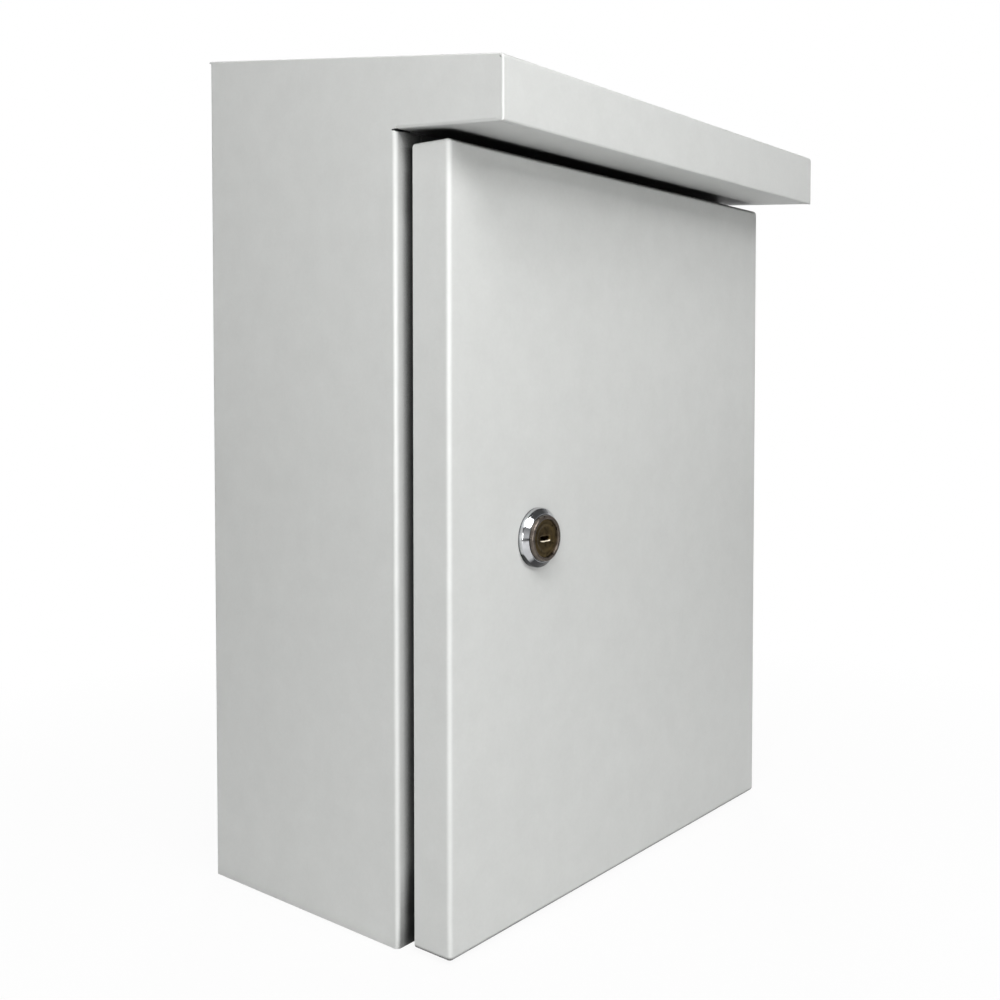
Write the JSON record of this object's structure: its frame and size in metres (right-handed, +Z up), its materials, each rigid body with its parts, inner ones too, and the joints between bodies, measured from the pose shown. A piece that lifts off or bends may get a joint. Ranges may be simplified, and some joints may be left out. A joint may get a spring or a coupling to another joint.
{
  "type": "outdoor utility cabinet",
  "caption": "Light grey folded steel outdoor utility cabinet: sloped roof with rain canopy, right-hung overlapping tray door on concealed hinges, round cam lock, inner mounting plate.",
  "frame": {"origin": "middle of the base of the whole outline, on the plane the cabinet stands on", "axes": "+X to the hinge side seen from the front, +Y to the wall, +Z up; the door faces -Y"},
  "size_m": [0.3, 0.198, 0.43],
  "materials": {
    "powder_coat": "light grey fine textured powder coat, satin",
    "galvanised_sheet": "galvanised, soft spangle",
    "zinc_fastener": "bright zinc plated",
    "chrome": "polished",
    "dark_brass": "dulled",
    "black_foam": "closed cell foam, matt",
    "grey_rubber": "moulded, matt"
  },
  "bodies": {
    "cabinet": {"body_wrap": "powder_coat", "roof_canopy": "powder_coat", "floor_panel": "powder_coat", "gland_plate": "powder_coat", "hinge_bracket_lower": "powder_coat", "hinge_bracket_upper": "powder_coat", "mounting_plate": "galvanised_sheet", "plate_studs": "zinc_fastener", "plate_washers": "zinc_fastener", "plate_nuts": "zinc_fastener", "gland_studs": "zinc_fastener", "gland_nuts": "zinc_fastener", "earth_stud": "zinc_fastener", "earth_washers": "zinc_fastener", "earth_nuts": "zinc_fastener", "hinge_pin_lower": "zinc_fastener", "hinge_pin_upper": "zinc_fastener", "gland_gasket": "black_foam", "cable_grommets": "grey_rubber"},
    "door": {"door_panel": "powder_coat", "door_seal": "black_foam", "hinge_knuckle_lower": "powder_coat", "hinge_knuckle_upper": "powder_coat", "door_earth_stud": "zinc_fastener", "door_earth_washer": "zinc_fastener", "door_earth_nut": "zinc_fastener", "lock_bezel": "chrome", "lock_housing": "dark_brass", "lock_washer": "zinc_fastener", "lock_nut": "zinc_fastener"},
    "lock": {"lock_plug": "dark_brass", "lock_cam": "zinc_fastener", "cam_screw": "zinc_fastener"}
  },
  "joints": [
    {"name": "door_hinge", "type": "hinge", "parent": "cabinet", "child": "door", "pos_m": [0.1412, -0.046, 0.1857], "axis": [0, 0, 1], "range_deg": [0, 110]},
    {"name": "lock_turn", "type": "hinge", "parent": "door", "child": "lock", "pos_m": [-0.0826, -0.0605, 0.1872], "axis": [0, 1, 0], "range_deg": [0, 90]}
  ]
}
